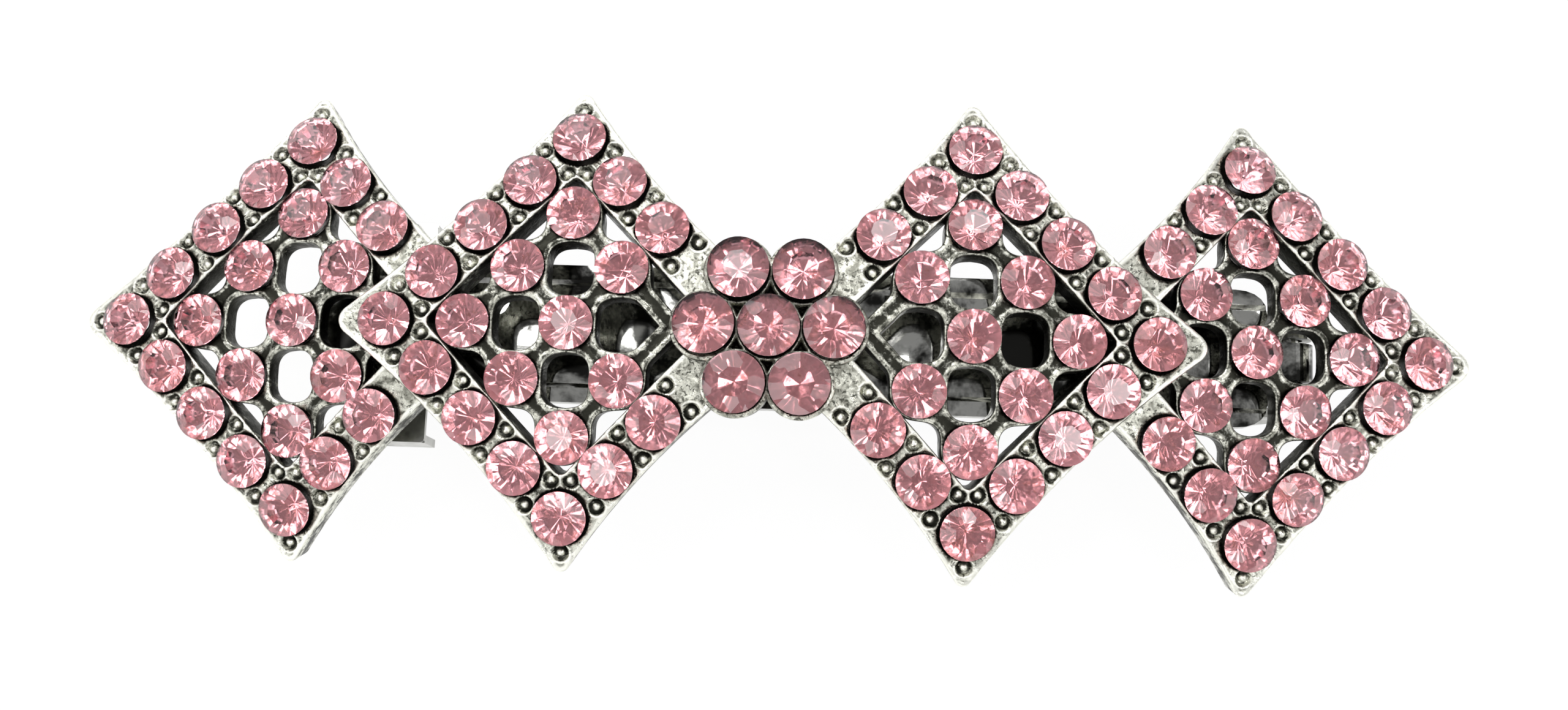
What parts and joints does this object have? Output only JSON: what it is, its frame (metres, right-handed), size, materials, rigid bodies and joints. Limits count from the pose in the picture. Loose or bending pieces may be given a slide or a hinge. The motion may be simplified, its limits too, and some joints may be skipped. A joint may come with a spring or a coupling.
{
  "type": "hair clip",
  "caption": "Openwork metal hair clip of overlapping diamonds and a raised flower set with pink pointed-back stones, on a spring barrette clasp with a hinged arm and squeeze catch.",
  "frame": {"origin": "middle of the clip's length and width, at the flat of the closed clasp arm that it lies on", "axes": "+X along the clip from the catch to the hinge, +Y across it, +Z out of the decorated face"},
  "size_m": [0.0852, 0.0288, 0.0154],
  "materials": {
    "antique_silver": "antique silver plating over cast zinc alloy, bright on the high places and dark in the recesses",
    "nickel_plate": "bright nickel plating over spring steel",
    "pink_stone": "pink faceted glass with a silver foil back"
  },
  "bodies": {
    "clip_body": {"base_plate": "nickel_plate", "casting": "antique_silver", "catch_plate": "nickel_plate", "hinge_pin": "nickel_plate", "stone_flower_1": "pink_stone", "stone_flower_2": "pink_stone", "stone_flower_3": "pink_stone", "stone_flower_4": "pink_stone", "stone_flower_5": "pink_stone", "stone_flower_6": "pink_stone", "stone_flower_7": "pink_stone", "stone_inner_left_corner_1": "pink_stone", "stone_inner_left_corner_2": "pink_stone", "stone_inner_left_corner_3": "pink_stone", "stone_inner_left_lattice_1": "pink_stone", "stone_inner_left_lattice_2": "pink_stone", "stone_inner_left_lattice_3": "pink_stone", "stone_inner_left_lattice_4": "pink_stone", "stone_inner_left_lattice_5": "pink_stone", "stone_inner_left_lattice_6": "pink_stone", "stone_inner_left_lattice_7": "pink_stone", "stone_inner_left_lattice_8": "pink_stone", "stone_inner_right_corner_1": "pink_stone", "stone_inner_right_corner_2": "pink_stone", "stone_inner_right_corner_3": "pink_stone", "stone_inner_right_lattice_1": "pink_stone", "stone_inner_right_lattice_2": "pink_stone", "stone_inner_right_lattice_3": "pink_stone", "stone_inner_right_lattice_4": "pink_stone", "stone_inner_right_lattice_5": "pink_stone", "stone_inner_right_lattice_6": "pink_stone", "stone_inner_right_lattice_7": "pink_stone", "stone_inner_right_lattice_8": "pink_stone", "stone_outer_left_corner_1": "pink_stone", "stone_outer_left_corner_2": "pink_stone", "stone_outer_left_corner_3": "pink_stone", "stone_outer_left_lattice_1": "pink_stone", "stone_outer_left_lattice_2": "pink_stone", "stone_outer_left_lattice_3": "pink_stone", "stone_outer_left_lattice_4": "pink_stone", "stone_outer_left_lattice_5": "pink_stone", "stone_outer_left_lattice_6": "pink_stone", "stone_outer_left_lattice_7": "pink_stone", "stone_outer_left_lattice_8": "pink_stone", "stone_outer_right_corner_1": "pink_stone", "stone_outer_right_corner_2": "pink_stone", "stone_outer_right_corner_3": "pink_stone", "stone_outer_right_lattice_1": "pink_stone", "stone_outer_right_lattice_2": "pink_stone", "stone_outer_right_lattice_3": "pink_stone", "stone_outer_right_lattice_4": "pink_stone", "stone_outer_right_lattice_5": "pink_stone", "stone_outer_right_lattice_6": "pink_stone", "stone_outer_right_lattice_7": "pink_stone", "stone_outer_right_lattice_8": "pink_stone"},
    "clasp_arm": {"clasp_arm": "nickel_plate"},
    "leaf_spring": {"leaf_spring": "nickel_plate"},
    "catch_lever_front": {"catch_lever_front": "nickel_plate"},
    "catch_lever_back": {"catch_lever_back": "nickel_plate"}
  },
  "joints": [
    {"name": "arm_hinge", "type": "hinge", "parent": "clip_body", "child": "clasp_arm", "pos_m": [0.03175, 0, 0.00602], "axis": [0, -1, 0], "range_deg": [0, 100]},
    {"name": "spring_flex", "type": "hinge", "parent": "clip_body", "child": "leaf_spring", "pos_m": [0.03175, 0, 0.00602], "axis": [0, 1, 0], "range_deg": [0, 1.5], "stiffness_Nm_per_rad": 0.2},
    {"name": "squeeze_front", "type": "hinge", "parent": "clip_body", "child": "catch_lever_front", "pos_m": [-0.02275, -0.00165, 0.00689], "axis": [1, 0, 0], "range_deg": [0, 8], "stiffness_Nm_per_rad": 0.05},
    {"name": "squeeze_back", "type": "hinge", "parent": "clip_body", "child": "catch_lever_back", "pos_m": [-0.02275, 0.00165, 0.00689], "axis": [-1, 0, 0], "range_deg": [0, 8], "stiffness_Nm_per_rad": 0.05}
  ]
}
